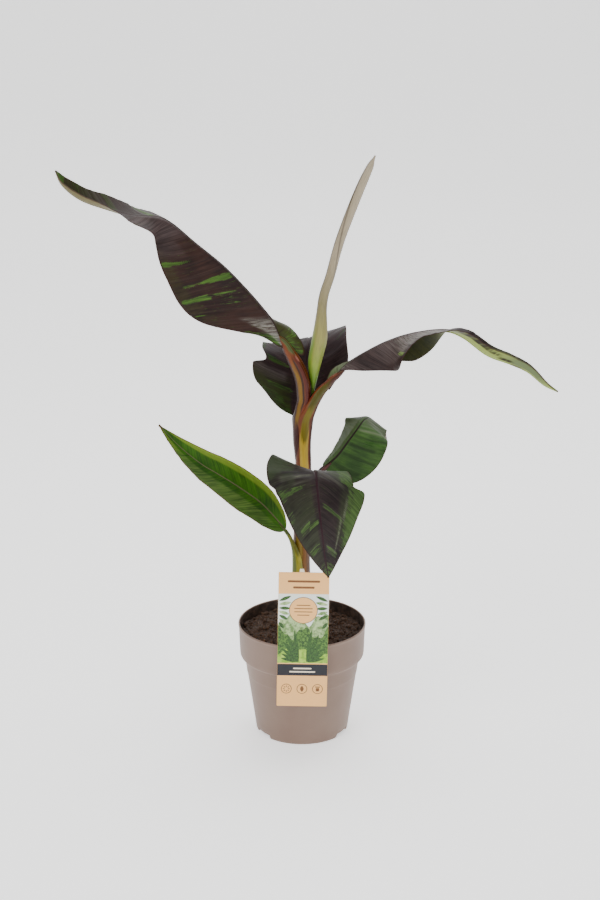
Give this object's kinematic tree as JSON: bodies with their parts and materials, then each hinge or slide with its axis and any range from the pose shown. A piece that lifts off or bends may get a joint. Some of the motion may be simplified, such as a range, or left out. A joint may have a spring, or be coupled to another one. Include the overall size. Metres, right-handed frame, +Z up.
{
  "type": "potted banana plant",
  "caption": "Young banana plant in a round nursery pot: sheathed stem, arching dark leaves splashed with green, a furled new leaf and a plain plant label.",
  "frame": {"origin": "centre of the pot's flat underside, where the plant stands", "axes": "+Z up along the stem, -Y towards the front with the label, +X to the right of the front"},
  "size_m": [0.6337, 0.2732, 0.7853],
  "materials": {
    "pot": "matte taupe moulded plastic",
    "soil": "moist dark brown fibrous potting soil",
    "stem": "yellow-green leaf sheaths with dark red margins",
    "petiole": "smooth red-brown leaf stalk",
    "dark_leaf": "satin dark maroon leaf with green streaks",
    "green_leaf": "satin bright green leaf",
    "furled_leaf": "satin pale yellow-green rolled leaf",
    "label": "printed card, warm tan"
  },
  "bodies": {
    "root": {"pot": "pot", "soil": "soil", "plant_label": "label", "pseudostem": "stem", "petiole_left": "petiole", "petiole_right": "petiole", "petiole_back": "petiole", "petiole_front": "petiole", "petiole_low_right": "petiole", "petiole_small": "petiole", "leaf_furled": "furled_leaf", "leaf_left": "dark_leaf", "leaf_right_inner": "dark_leaf", "leaf_right_outer": "dark_leaf", "leaf_front": "dark_leaf", "leaf_low_right_inner": "dark_leaf", "leaf_low_right_outer": "dark_leaf", "leaf_back_inner": "dark_leaf", "leaf_back_outer": "dark_leaf", "leaf_small": "green_leaf"}
  },
  "joints": []
}
